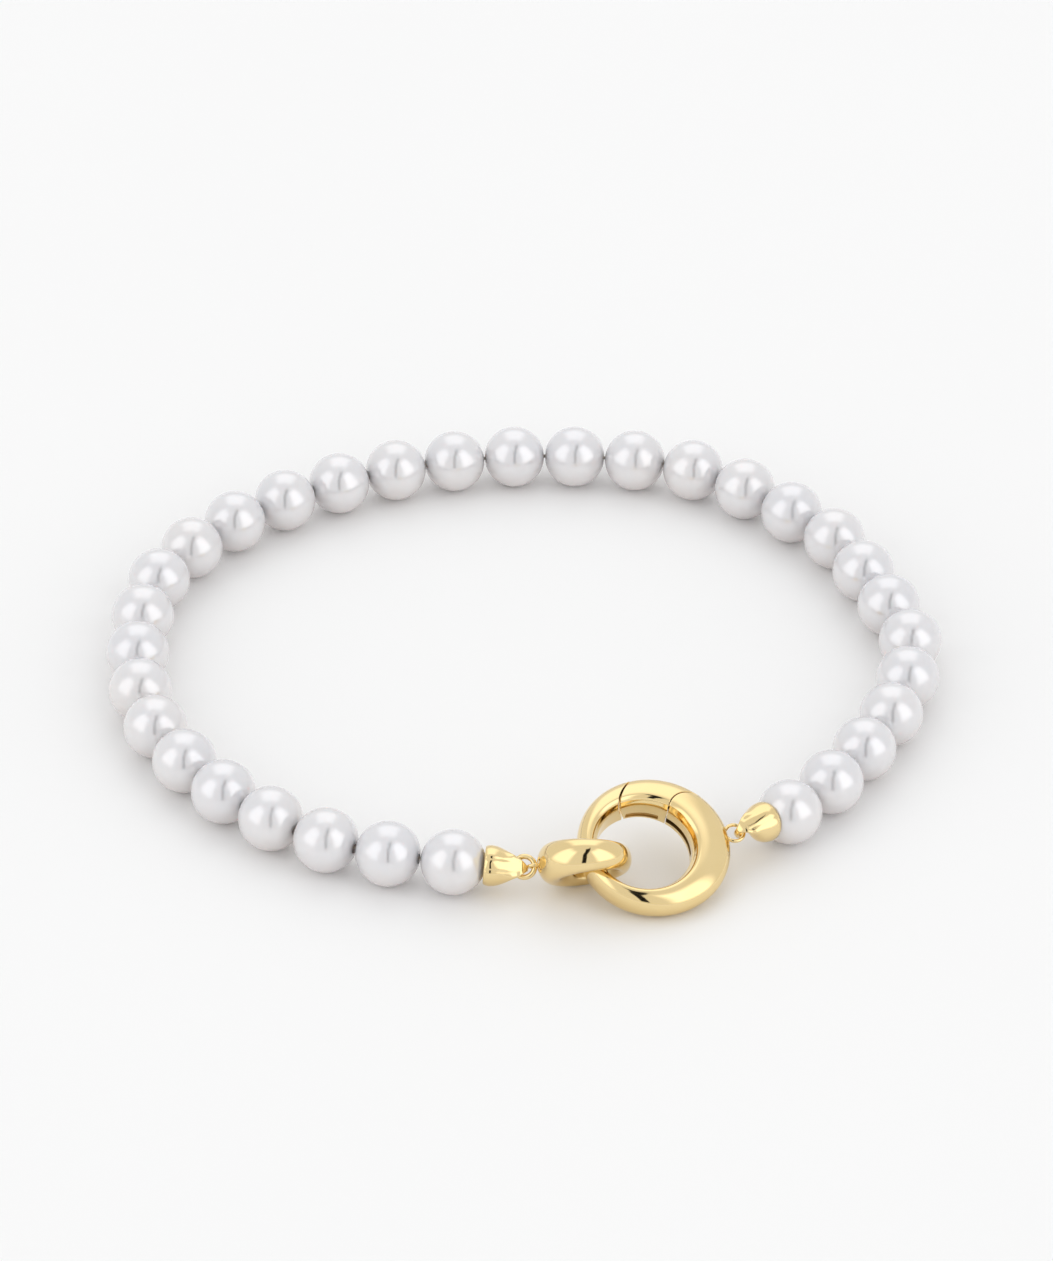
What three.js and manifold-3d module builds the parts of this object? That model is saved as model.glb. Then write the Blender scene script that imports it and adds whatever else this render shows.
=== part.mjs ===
// A strand of round pearls closed by a spring-gate ring clasp, lying flat in a loop.
// All lengths are millimetres and +Z is up. The strand runs from the left end cap round the back
// to the right end cap, and the fastening closes the loop along the front.

import * as THREE from 'three';
import { mergeVertices } from 'three/addons/utils/BufferGeometryUtils.js';
import Module from 'manifold-3d';

const wasm = await Module();
wasm.setup();

// Pearls and the thread they are strung on
const PEARL_DIAMETER = 5.0;
const PEARL_COUNT = 32;
const PEARL_GAP = 0.04;
const PEARL_BORE = 0.9;
const PEARL_SIDES = 12;
const PEARL_ARC_STEPS = 6;
const THREAD_DIAMETER = 0.3;
const THREAD_SIDES = 6;
const THREAD_SOCKET_SHARE = 0.7;

// End caps: a bell that seats the last pearl and a tongue curled into a hook
const CAP_LENGTH = 3.35;
const CAP_DIAMETER = 3.1;
const CAP_RIM_DIAMETER = 2.96;
const CAP_RIM_WALL = 0.1;
const CAP_SEAT_GAP = 0.06;
const CAP_SOCKET_DIAMETER = 0.8;
const CAP_SOCKET_DEPTH = 0.9;
const CAP_SIDES = 16;
const HOOK_EYE_DIAMETER = 1.0;
const TONGUE_THICKNESS = 0.28;
const TONGUE_ROOT_WIDTH = 2.1;
const TONGUE_TIP_WIDTH = 0.64;

// Small wire ring between the left cap and the ring link
const JUMP_RING_WIRE = 0.42;
const JUMP_RING_HOLE = 1.15;
const JUMP_RING_TILT = 43;
const JUMP_RING_DROOP = 0.3;
const JUMP_RING_SLACK = 0.2;
const JUMP_RING_RISE_SHARE = 0.3;

// Ring link: thick towards the jump ring, thin where it holds the clasp
const LINK_DIAMETER = 7.15;
const LINK_HOLE_DIAMETER = 3.65;
const LINK_HOLE_SHIFT = 0.4;
const LINK_THICK_HEIGHT = 3.0;
const LINK_THIN_HEIGHT = 2.05;
const LINK_TILT = 48;
const LINK_EYE_HOLE = 0.66;
const LINK_EYE_WIRE = 0.24;
const LINK_EYE_CLEARANCE = 0.06;
const LINK_EYE_SINK = 0.08;

// Clasp ring: a round hole in a round body whose centre lies towards the right cap
const CLASP_HOLE_DIAMETER = 7.3;
const CLASP_DIAMETER = 11.7;
const CLASP_SHIFT = 0.86;
const CLASP_SHIFT_ANGLE = 10;
const CLASP_WALL_HEIGHT = 2.3;
const CLASP_HEIGHT = 2.6;
const CLASP_CREST_SHARE = 0.38;
const CLASP_TILT = 21.5;
const LOOP_RISE = 0.15;
const LOOP_WIRE = 0.28;
const LOOP_HOLE = 1.14;

// Gate: hinged near the loop, closing on a slanted latch face. Angles are measured from the loop.
const HINGE_ANGLE = 21.7;
const HINGE_RADIUS = 4.78;
const KNUCKLE_RADIUS = 1.97;
const KNUCKLE_START = 10;
const KNUCKLE_END = 170;
const LATCH_INNER_ANGLE = 109;
const LATCH_OUTER_ANGLE = 87;
const LATCH_BOW = 0.12;
const LATCH_BOW_AT = 0.45;
const GATE_CLEARANCE = 0.13;
const PIN_DIAMETER = 0.6;
const PIN_CLEARANCE = 0.06;
const PIN_FOOT_INSET = 0.15;
const PIN_REACH = 0.5;
const HINGE_TAB_RADIUS = 0.85;
const HINGE_TAB_THICKNESS = 0.6;
const HINGE_TAB_WIDTH = 1.0;
const HINGE_TAB_ANGLE = 88;
const HINGE_TAB_LEVEL = -0.35;
const HINGE_TAB_OVERLAP = 0.5;
const SLOT_CLEARANCE = 0.1;
const SLOT_END_ANGLE = -14;
const SLOT_MOUTH_TURN = 60;
const SLOT_CORNER_TURN = -75;
const GATE_GROOVE_DEPTH = 0.3;
const GATE_GROOVE_START = 52;
const GATE_GROOVE_END = 97;

// How far a cutting solid runs past the face that it cuts
const CUT_MARGIN = 1;

// Flat sides of the round pieces, and steps round the wire rings
const PLATE_SIDES = 16;
const PIN_SIDES = 12;
const RING_STEPS = 16;
const LOOP_STEPS = 14;
const EYE_STEPS = 12;

// The loop's shape seen from above. It is scaled until the chain of pieces closes on itself.
const ROUTE_POINTS = [
  [-5.2, -29.3], [-14.9, -26.7], [-23.1, -20.6], [-28.7, -12.3], [-30.5, -3.1], [-29.4, 6.9],
  [-24.1, 14.6], [-15.6, 20.4], [-6.3, 23.7], [3.6, 24.5], [13.4, 22.6], [21.5, 16.4],
  [25.1, 12.2], [27.0, 7.8], [30.2, -1.8], [29.5, -6.4], [27.9, -11.2], [23.2, -19.3],
  [20.05, -22.9], [16.4, -25.9], [9.1, -28.25], [4.5, -29.8], [-0.5, -29.55],
];

// Finish of each material
const PEARL_FINISH = { color: 0xece8e8, roughness: 0.28, metalness: 0.0 };
const GOLD_FINISH = { color: 0xe8c468, roughness: 0.16, metalness: 1.0 };
const THREAD_FINISH = { color: 0xd9d2c6, roughness: 0.8, metalness: 0.0 };

const UP = new THREE.Vector3(0, 0, 1);
const radians = THREE.MathUtils.degToRad;

// Solids and meshes

function toSolid(geometry) {
  geometry.deleteAttribute('normal');
  geometry.deleteAttribute('uv');
  const merged = mergeVertices(geometry, 1e-5);
  const vertProperties = Float32Array.from(merged.attributes.position.array);
  const triVerts = Uint32Array.from(merged.index.array);
  return new wasm.Manifold(new wasm.Mesh({ numProp: 3, vertProperties, triVerts }));
}

function toGeometry(solid) {
  const mesh = solid.getMesh();
  const geometry = new THREE.BufferGeometry();
  geometry.setAttribute('position', new THREE.BufferAttribute(mesh.vertProperties, mesh.numProp));
  geometry.setIndex(new THREE.BufferAttribute(mesh.triVerts, 1));
  geometry.computeVertexNormals();
  return geometry;
}

function makeMesh(name, geometry, finish) {
  const mesh = new THREE.Mesh(geometry, new THREE.MeshStandardMaterial(finish));
  mesh.name = name;
  return mesh;
}

// Turns and moves a piece: its own x axis follows `along`, and its z axis leans towards `lean`.
function place(mesh, origin, along, lean) {
  const x = along.clone().normalize();
  const z = lean.clone().addScaledVector(x, -lean.dot(x)).normalize();
  const y = new THREE.Vector3().crossVectors(z, x);
  mesh.quaternion.setFromRotationMatrix(new THREE.Matrix4().makeBasis(x, y, z));
  mesh.position.copy(origin);
  return mesh;
}

// A closed body through rings of points. Each ring runs anticlockwise seen from the next one.
function loft(rings, closed) {
  const count = rings[0].length;
  const index = [];
  const spans = closed ? rings.length : rings.length - 1;
  for (let i = 0; i < spans; i += 1) {
    const a = i * count;
    const b = ((i + 1) % rings.length) * count;
    for (let j = 0; j < count; j += 1) {
      const k = (j + 1) % count;
      index.push(a + j, a + k, b + k, a + j, b + k, b + j);
    }
  }
  if (!closed) {
    const last = (rings.length - 1) * count;
    for (let j = 1; j < count - 1; j += 1) {
      index.push(0, j + 1, j);
      index.push(last, last + j, last + j + 1);
    }
  }
  const geometry = new THREE.BufferGeometry().setFromPoints(rings.flat());
  geometry.setIndex(index);
  return geometry;
}

function polar(radius, degrees, height = 0) {
  const angle = radians(degrees);
  return new THREE.Vector3(radius * Math.cos(angle), radius * Math.sin(angle), height);
}

// An upright prism on an outline in the piece's own plane, between two heights.
function prism(shape, bottom, top) {
  const geometry = new THREE.ExtrudeGeometry(shape, {
    depth: top - bottom, bevelEnabled: false, curveSegments: 24,
  });
  geometry.translate(0, 0, bottom);
  return toSolid(geometry);
}

function disc(centre, radius, bottom, top, sides) {
  const geometry = new THREE.CylinderGeometry(radius, radius, top - bottom, sides);
  geometry.rotateX(Math.PI / 2);
  geometry.translate(centre.x, centre.y, (bottom + top) / 2);
  return toSolid(geometry);
}

function wireRing(holeDiameter, wire, steps) {
  return new THREE.TorusGeometry((holeDiameter + wire) / 2, wire / 2, 6, steps);
}

// Pearls and thread

function pearlGeometry() {
  const radius = PEARL_DIAMETER / 2;
  const start = Math.asin(PEARL_BORE / PEARL_DIAMETER);
  const profile = [];
  for (let i = 0; i <= PEARL_ARC_STEPS; i += 1) {
    const angle = start + ((Math.PI - 2 * start) * i) / PEARL_ARC_STEPS;
    profile.push(new THREE.Vector2(radius * Math.sin(angle), -radius * Math.cos(angle)));
  }
  profile.push(profile[0].clone());
  return new THREE.LatheGeometry(profile, PEARL_SIDES).rotateZ(-Math.PI / 2);
}

function threadGeometry(points) {
  const shape = new THREE.Shape();
  const radius = THREAD_DIAMETER / 2;
  for (let i = 0; i < THREAD_SIDES; i += 1) {
    const corner = polar(radius, (360 * i) / THREAD_SIDES);
    if (i === 0) {
      shape.moveTo(corner.x, corner.y);
    } else {
      shape.lineTo(corner.x, corner.y);
    }
  }
  return new THREE.ExtrudeGeometry(shape, {
    steps: 2 * (points.length - 1),
    extrudePath: new THREE.CatmullRomCurve3(points),
    bevelEnabled: false,
  });
}

// End caps. The origin is the centre of the seated pearl and +X points to the hook.

const CAP_SEAT_RADIUS = PEARL_DIAMETER / 2 + CAP_SEAT_GAP;
const CAP_RIM_INNER = CAP_RIM_DIAMETER / 2 - CAP_RIM_WALL;
const CAP_RIM_X = Math.sqrt(CAP_SEAT_RADIUS ** 2 - CAP_RIM_INNER ** 2);
const HOOK_EYE_X = CAP_RIM_X + CAP_LENGTH - TONGUE_THICKNESS - HOOK_EYE_DIAMETER / 2;

// Outside of the bell: how far along it is, and its radius there, as shares of bell length and radius
const BELL_OUTLINE = [
  { along: 0.0, radius: CAP_RIM_DIAMETER / CAP_DIAMETER },
  { along: 0.1, radius: 0.98 },
  { along: 0.26, radius: 1.0 },
  { along: 0.5, radius: 0.9 },
  { along: 0.72, radius: 0.77 },
  { along: 0.88, radius: 0.63 },
  { along: 1.0, radius: 0.4 },
];

function bellGeometry() {
  const length = HOOK_EYE_X - HOOK_EYE_DIAMETER / 2 - CAP_RIM_X;
  const socket = CAP_SOCKET_DIAMETER / 2;
  const profile = [
    new THREE.Vector2(0, CAP_SEAT_RADIUS + CAP_SOCKET_DEPTH),
    new THREE.Vector2(socket, CAP_SEAT_RADIUS + CAP_SOCKET_DEPTH),
  ];
  const seatSteps = 3;
  for (let i = 0; i <= seatSteps; i += 1) {
    const radius = socket + ((CAP_RIM_INNER - socket) * i) / seatSteps;
    profile.push(new THREE.Vector2(radius, Math.sqrt(CAP_SEAT_RADIUS ** 2 - radius ** 2)));
  }
  for (const { along, radius } of BELL_OUTLINE) {
    profile.push(new THREE.Vector2((radius * CAP_DIAMETER) / 2, CAP_RIM_X + along * length));
  }
  profile.push(new THREE.Vector2(0, CAP_RIM_X + length));
  return new THREE.LatheGeometry(profile, CAP_SIDES).rotateZ(-Math.PI / 2);
}

// The tongue leaves the bell on its -Y side, curls round the eye and comes back to the +Y side.
function tongueGeometry() {
  const curl = (HOOK_EYE_DIAMETER + TONGUE_THICKNESS) / 2;
  const stations = [
    { x: HOOK_EYE_X - 1.1, y: -curl - 0.3, turn: -107, width: TONGUE_ROOT_WIDTH },
    { x: HOOK_EYE_X - 0.5, y: -curl - 0.1, turn: -103, width: TONGUE_ROOT_WIDTH * 0.95 },
  ];
  const arcSteps = 6;
  for (let i = 0; i <= arcSteps; i += 1) {
    const turn = -90 + (180 * i) / arcSteps;
    const narrowing = Math.min(1, (3 * i) / arcSteps);
    const width = THREE.MathUtils.lerp(TONGUE_ROOT_WIDTH * 0.8, TONGUE_TIP_WIDTH, narrowing);
    const point = polar(curl, turn);
    stations.push({ x: HOOK_EYE_X + point.x, y: point.y, turn, width });
  }
  stations.push({ x: HOOK_EYE_X - 0.9, y: curl + 0.35, turn: 110, width: TONGUE_TIP_WIDTH });
  const rings = stations.map(({ x, y, turn, width }) => {
    const outward = polar(TONGUE_THICKNESS / 2, turn);
    const corners = [[1, 1], [1, -1], [-1, -1], [-1, 1]];
    return corners.map(([side, end]) => (
      new THREE.Vector3(x + side * outward.x, y + side * outward.y, (end * width) / 2)));
  });
  return loft(rings, false);
}

function capGeometry() {
  return toGeometry(toSolid(bellGeometry()).add(toSolid(tongueGeometry())));
}

// Rings of the fastening. Each lies in its own XY plane, with +X along the pull.

// Distance from the centre of a ring's hole to its outside, whose centre is shifted along +X.
function outerReach(outerDiameter, shift, angle) {
  const across = shift * Math.sin(angle);
  return shift * Math.cos(angle) + Math.sqrt((outerDiameter / 2) ** 2 - across ** 2);
}

function linkGeometry() {
  const steps = 24;
  const sides = 10;
  const rings = [];
  for (let i = 0; i < steps; i += 1) {
    const degrees = (360 * i) / steps;
    const inner = LINK_HOLE_DIAMETER / 2;
    const outer = outerReach(LINK_DIAMETER, -LINK_HOLE_SHIFT, radians(degrees));
    const thin = (1 + Math.cos(radians(degrees))) / 2;
    const height = THREE.MathUtils.lerp(LINK_THICK_HEIGHT, LINK_THIN_HEIGHT, thin);
    const ring = [];
    for (let j = 0; j < sides; j += 1) {
      const around = polar(1, (360 * j) / sides);
      const reach = (inner + outer) / 2 + ((outer - inner) / 2) * around.x;
      ring.push(polar(reach, -degrees, (height / 2) * around.y));
    }
    rings.push(ring);
  }
  return loft(rings, true).translate(LINK_HOLE_SHIFT, 0, 0);
}

const LINK_EYE_X = -(LINK_DIAMETER + LINK_EYE_HOLE) / 2 + LINK_EYE_SINK;

function linkWithEyeGeometry() {
  const eye = wireRing(LINK_EYE_HOLE, LINK_EYE_WIRE, EYE_STEPS).translate(LINK_EYE_X, 0, 0);
  return toGeometry(toSolid(linkGeometry()).add(toSolid(eye)));
}

function claspReach(degrees) {
  return outerReach(CLASP_DIAMETER, CLASP_SHIFT, radians(degrees - CLASP_SHIFT_ANGLE));
}

// Section of the clasp: a flat wall on the hole's side, a small bevel and a rounded outside
function claspSection(degrees) {
  const inner = CLASP_HOLE_DIAMETER / 2;
  const thickness = claspReach(degrees) - inner;
  const crest = inner + CLASP_CREST_SHARE * thickness;
  const section = [
    { radius: inner, height: CLASP_WALL_HEIGHT / 2 },
    { radius: inner, height: -CLASP_WALL_HEIGHT / 2 },
  ];
  const outsideSteps = 8;
  for (let j = 0; j <= outsideSteps; j += 1) {
    const turn = polar(1, -90 + (180 * j) / outsideSteps);
    section.push({
      radius: crest + (inner + thickness - crest) * turn.x,
      height: (CLASP_HEIGHT / 2) * turn.y,
    });
  }
  return section;
}

function claspBodySolid() {
  const steps = 48;
  const rings = [];
  for (let i = 0; i < steps; i += 1) {
    const degrees = (-360 * i) / steps;
    rings.push(claspSection(degrees).map(({ radius, height }) => polar(radius, degrees, height)));
  }
  return toSolid(loft(rings, true));
}

const PIN_CENTRE = polar(HINGE_RADIUS, HINGE_ANGLE);
const LOOP_X = claspReach(0) + LOOP_HOLE / 2;
const CUT_REACH = CLASP_DIAMETER;

// Outline of the gate's stretch of the ring: a concave end round the knuckle, a slanted latch end
function gateOutline(clearance) {
  const shape = new THREE.Shape();
  const first = radians(HINGE_ANGLE + KNUCKLE_START);
  const last = radians(HINGE_ANGLE + KNUCKLE_END);
  shape.absarc(PIN_CENTRE.x, PIN_CENTRE.y, KNUCKLE_RADIUS + clearance, first, last, false);
  const inner = polar(CLASP_HOLE_DIAMETER / 2, LATCH_INNER_ANGLE);
  const outer = polar(CLASP_DIAMETER / 2, LATCH_OUTER_ANGLE);
  const slant = outer.clone().sub(inner).normalize();
  const aside = new THREE.Vector3(slant.y, -slant.x, 0);
  const inward = aside.clone().multiplyScalar(clearance);
  const bow = aside.clone().multiplyScalar(LATCH_BOW);
  const middle = inner.clone().lerp(outer, LATCH_BOW_AT).sub(bow).add(inward);
  const start = inner.clone().addScaledVector(slant, -CUT_MARGIN).add(inward);
  const end = outer.clone().addScaledVector(slant, CUT_MARGIN).add(bow).add(inward);
  shape.lineTo(start.x, start.y);
  shape.lineTo(inner.x + inward.x, inner.y + inward.y);
  shape.lineTo(middle.x, middle.y);
  shape.lineTo(end.x, end.y);
  const beyond = polar(CUT_REACH, (HINGE_ANGLE + LATCH_OUTER_ANGLE) / 2);
  shape.lineTo(beyond.x, beyond.y);
  shape.closePath();
  return shape;
}

function polygon(points) {
  const shape = new THREE.Shape();
  shape.moveTo(points[0].x, points[0].y);
  for (const point of points.slice(1)) {
    shape.lineTo(point.x, point.y);
  }
  shape.closePath();
  return shape;
}

// Hinge tab of the gate: a round plate on the pin with a neck that reaches into the gate
function hingeTab() {
  const bottom = HINGE_TAB_LEVEL - HINGE_TAB_THICKNESS / 2;
  const top = HINGE_TAB_LEVEL + HINGE_TAB_THICKNESS / 2;
  const along = polar(KNUCKLE_RADIUS + HINGE_TAB_OVERLAP, HINGE_ANGLE + HINGE_TAB_ANGLE);
  const aside = polar(HINGE_TAB_WIDTH / 2, HINGE_ANGLE + HINGE_TAB_ANGLE + 90);
  const neck = polygon([
    PIN_CENTRE.clone().sub(aside),
    PIN_CENTRE.clone().add(along).sub(aside),
    PIN_CENTRE.clone().add(along).add(aside),
    PIN_CENTRE.clone().add(aside),
  ]);
  const plate = disc(PIN_CENTRE, HINGE_TAB_RADIUS, bottom, top, PLATE_SIDES);
  const boreRadius = PIN_DIAMETER / 2 + PIN_CLEARANCE;
  const bore = disc(PIN_CENTRE, boreRadius, bottom - CUT_MARGIN, top + CUT_MARGIN, PIN_SIDES);
  return plate.add(prism(neck, bottom, top)).subtract(bore);
}

// Slot of the clasp ring: it holds the hinge tab, opens to the hole and runs out along the wall.
function hingeSlot() {
  const half = HINGE_TAB_THICKNESS / 2 + SLOT_CLEARANCE;
  const bottom = HINGE_TAB_LEVEL - half;
  const top = HINGE_TAB_LEVEL + half;
  const room = HINGE_TAB_RADIUS + SLOT_CLEARANCE;
  const inner = CLASP_HOLE_DIAMETER / 2;
  const neckAngle = HINGE_ANGLE + HINGE_TAB_ANGLE;
  const outside = polar(HINGE_TAB_WIDTH / 2 + SLOT_CLEARANCE, neckAngle - 90);
  const shape = polygon([
    PIN_CENTRE.clone().add(outside),
    PIN_CENTRE.clone().add(outside).add(polar(KNUCKLE_RADIUS + CUT_MARGIN, neckAngle)),
    polar(inner - CUT_MARGIN, HINGE_ANGLE + SLOT_MOUTH_TURN),
    polar(inner - CUT_MARGIN, SLOT_END_ANGLE),
    polar(inner, SLOT_END_ANGLE),
    PIN_CENTRE.clone().add(polar(room, HINGE_ANGLE + SLOT_CORNER_TURN)),
  ]);
  return disc(PIN_CENTRE, room, bottom, top, PLATE_SIDES).add(prism(shape, bottom, top));
}

// Shallow groove along the inner wall of the gate, in line with the slot
function gateGroove() {
  const half = HINGE_TAB_THICKNESS / 2 + SLOT_CLEARANCE;
  const inner = CLASP_HOLE_DIAMETER / 2;
  const shape = new THREE.Shape();
  const first = radians(GATE_GROOVE_START);
  const last = radians(GATE_GROOVE_END);
  shape.absarc(0, 0, inner + GATE_GROOVE_DEPTH, first, last, false);
  shape.absarc(0, 0, inner - CUT_MARGIN, last, first, true);
  shape.closePath();
  return prism(shape, HINGE_TAB_LEVEL - half, HINGE_TAB_LEVEL + half);
}

const PIN_BOTTOM = -CLASP_HEIGHT / 2 + PIN_FOOT_INSET;
const PIN_TOP = HINGE_TAB_LEVEL + HINGE_TAB_THICKNESS / 2 + PIN_REACH;

function claspRingGeometry() {
  const loop = toSolid(wireRing(LOOP_HOLE, LOOP_WIRE, LOOP_STEPS).translate(LOOP_X, 0, 0));
  const bore = PIN_DIAMETER / 2 + PIN_CLEARANCE;
  const solid = claspBodySolid()
    .subtract(prism(gateOutline(0), -CLASP_HEIGHT, CLASP_HEIGHT))
    .subtract(hingeSlot())
    .subtract(disc(PIN_CENTRE, bore, -CLASP_HEIGHT, PIN_TOP + PIN_CLEARANCE, PIN_SIDES))
    .add(loop);
  return toGeometry(solid);
}

function claspGateGeometry() {
  const solid = claspBodySolid()
    .intersect(prism(gateOutline(GATE_CLEARANCE), -CLASP_HEIGHT, CLASP_HEIGHT))
    .subtract(gateGroove())
    .add(hingeTab());
  return toGeometry(solid);
}

function hingePinGeometry() {
  return toGeometry(disc(PIN_CENTRE, PIN_DIAMETER / 2, PIN_BOTTOM, PIN_TOP, PIN_SIDES));
}

// Heights at which the tilted rings touch the surface with their lowest side

function claspRestHeight() {
  const tilt = radians(CLASP_TILT);
  const depths = claspSection(-90).map(({ radius, height }) => (
    radius * Math.sin(tilt) - height * Math.cos(tilt)));
  return Math.max(...depths);
}

function linkRestHeight() {
  const tilt = radians(LINK_TILT);
  const reach = outerReach(LINK_DIAMETER, -LINK_HOLE_SHIFT, Math.PI / 2);
  const inner = LINK_HOLE_DIAMETER / 2;
  const across = ((reach - inner) / 2) * Math.sin(tilt);
  const height = ((LINK_THICK_HEIGHT + LINK_THIN_HEIGHT) / 4) * Math.cos(tilt);
  return ((reach + inner) / 2) * Math.sin(tilt) + Math.hypot(across, height);
}

// The chain of pieces, from the first pearl round the back, with the straight distance to the next

const CLASP_THIN = claspReach(180) - CLASP_HOLE_DIAMETER / 2;
const CLASP_TO_LINK = (CLASP_HOLE_DIAMETER + CLASP_THIN) / 2 + LINK_HOLE_SHIFT;
const JUMP_RING_RADIUS = (JUMP_RING_HOLE + JUMP_RING_WIRE) / 2;

function chainStops() {
  const level = PEARL_DIAMETER / 2;
  const claspLevel = claspRestHeight();
  const linkLevel = linkRestHeight();
  const hookLevel = claspLevel + LOOP_RISE;
  const droopLevel = level - JUMP_RING_DROOP;
  const eyeLevel = THREE.MathUtils.lerp(droopLevel, linkLevel, JUMP_RING_RISE_SHARE);
  const stops = [];
  for (let i = 1; i < PEARL_COUNT; i += 1) {
    stops.push({ level, next: PEARL_DIAMETER + PEARL_GAP });
  }
  stops.push({ level, next: HOOK_EYE_X });
  stops.push({ level: hookLevel, next: LOOP_X + (LOOP_HOLE + LOOP_WIRE) / 2 });
  stops.push({ level: claspLevel, next: CLASP_TO_LINK });
  stops.push({ level: linkLevel, next: LINK_EYE_CLEARANCE - LINK_EYE_X });
  stops.push({ level: eyeLevel, next: 2 * JUMP_RING_RADIUS });
  stops.push({ level: droopLevel, next: HOOK_EYE_X - JUMP_RING_SLACK });
  return stops;
}

const HALVINGS = 40;
const SEARCH_SPAN = 0.2;
const SCALE_LIMITS = [0.5, 2];

// The share of the route at which the straight distance from the share `from` is reached
function stepAlong(route, from, distance) {
  const start = route.getPoint(from % 1);
  let near = from;
  let far = from + SEARCH_SPAN;
  for (let i = 0; i < HALVINGS; i += 1) {
    const middle = (near + far) / 2;
    if (route.getPoint(middle % 1).distanceTo(start) < distance) {
      near = middle;
    } else {
      far = middle;
    }
  }
  return near;
}

function walkRoute(route, stops) {
  let share = 0;
  const shares = [share];
  stops.forEach(({ level, next }, i) => {
    const rise = stops[(i + 1) % stops.length].level - level;
    share = stepAlong(route, share, Math.sqrt(next ** 2 - rise ** 2));
    shares.push(share);
  });
  return shares;
}

function scaledRoute(scale) {
  const points = ROUTE_POINTS.map(([x, y]) => new THREE.Vector3(x * scale, y * scale, 0));
  return new THREE.CatmullRomCurve3(points, true);
}

// Scales the route until the chain ends where it starts, and gives each stop's place.
function layOut(stops) {
  let [small, large] = SCALE_LIMITS;
  for (let i = 0; i < HALVINGS; i += 1) {
    const scale = (small + large) / 2;
    if (walkRoute(scaledRoute(scale), stops).at(-1) > 1) {
      small = scale;
    } else {
      large = scale;
    }
  }
  const route = scaledRoute(large);
  return walkRoute(route, stops).slice(0, -1).map((share, i) => (
    route.getPoint(share).setZ(stops[i].level)));
}

// Directions seen along the chain

function tiltedUp(along, degrees) {
  return UP.clone().applyAxisAngle(along.clone().normalize(), radians(degrees));
}

function between(from, to) {
  return to.clone().sub(from);
}

function addPearls(group, places) {
  const geometry = pearlGeometry();
  const first = places.at(-1);
  places.slice(0, PEARL_COUNT).forEach((centre, i) => {
    const before = i === 0 ? first : places[i - 1];
    const along = between(before, places[i + 1]);
    const name = `pearl_${String(i + 1).padStart(2, '0')}`;
    group.add(place(makeMesh(name, geometry, PEARL_FINISH), centre, along, UP));
  });
}

function addThread(group, places) {
  const reach = PEARL_DIAMETER / 2 + CAP_SEAT_GAP + CAP_SOCKET_DEPTH * THREAD_SOCKET_SHARE;
  const pearls = places.slice(0, PEARL_COUNT);
  const left = between(pearls[0], places.at(-1)).setLength(reach).add(pearls[0]);
  const last = pearls.at(-1);
  const right = between(last, places[PEARL_COUNT]).setLength(reach).add(last);
  const geometry = threadGeometry([left, ...pearls, right]);
  group.add(makeMesh('stringing_thread', geometry, THREAD_FINISH));
}

function addFastening(group, places) {
  const [loopHold, claspCentre, linkCentre, eyeHold, hookHold] = places.slice(PEARL_COUNT);
  const firstPearl = places[0];
  const lastPearl = places[PEARL_COUNT - 1];

  const claspAlong = between(linkCentre, loopHold);
  const claspLean = tiltedUp(claspAlong, CLASP_TILT);
  const claspPieces = [
    ['clasp_ring', claspRingGeometry()],
    ['clasp_gate', claspGateGeometry()],
    ['clasp_hinge_pin', hingePinGeometry()],
  ];
  for (const [name, geometry] of claspPieces) {
    group.add(place(makeMesh(name, geometry, GOLD_FINISH), claspCentre, claspAlong, claspLean));
  }

  const linkAlong = between(eyeHold, linkCentre);
  const linkLean = tiltedUp(linkAlong, -LINK_TILT);
  const link = makeMesh('ring_link', linkWithEyeGeometry(), GOLD_FINISH);
  group.add(place(link, linkCentre, linkAlong, linkLean));

  const jumpAlong = between(hookHold, eyeHold);
  const jumpAcross = tiltedUp(jumpAlong, -JUMP_RING_TILT);
  const jumpCentre = hookHold.clone().add(eyeHold).multiplyScalar(0.5);
  const jumpFacing = new THREE.Vector3().crossVectors(jumpAlong, jumpAcross);
  const jumpGeometry = wireRing(JUMP_RING_HOLE, JUMP_RING_WIRE, RING_STEPS);
  const jumpRing = makeMesh('jump_ring_left', jumpGeometry, GOLD_FINISH);
  group.add(place(jumpRing, jumpCentre, jumpAlong, jumpFacing));

  const loopAcross = new THREE.Vector3().crossVectors(claspAlong, claspLean);
  const capLeft = makeMesh('end_cap_left', capGeometry(), GOLD_FINISH);
  group.add(place(capLeft, firstPearl, between(firstPearl, hookHold), jumpAcross));
  const capRight = makeMesh('end_cap_right', capGeometry(), GOLD_FINISH);
  group.add(place(capRight, lastPearl, between(lastPearl, loopHold), loopAcross));
}

// Stands the whole loop on z = 0 with the middle of its box at x = y = 0.
function centreOnSurface(group) {
  const box = new THREE.Box3().setFromObject(group, true);
  const middle = box.getCenter(new THREE.Vector3());
  group.position.set(-middle.x, -middle.y, -box.min.z);
}

const bracelet = new THREE.Group();
const places = layOut(chainStops());
addPearls(bracelet, places);
addThread(bracelet, places);
addFastening(bracelet, places);
centreOnSurface(bracelet);

export default bracelet;
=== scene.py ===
"""A pearl bracelet closed by a spring-gate ring clasp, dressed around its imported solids.

Shapes are worked out in millimetres in the row frame and turned into metres when a mesh is made.
"""
import math

import bmesh
import bpy
from mathutils import Matrix, Vector, noise


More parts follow.
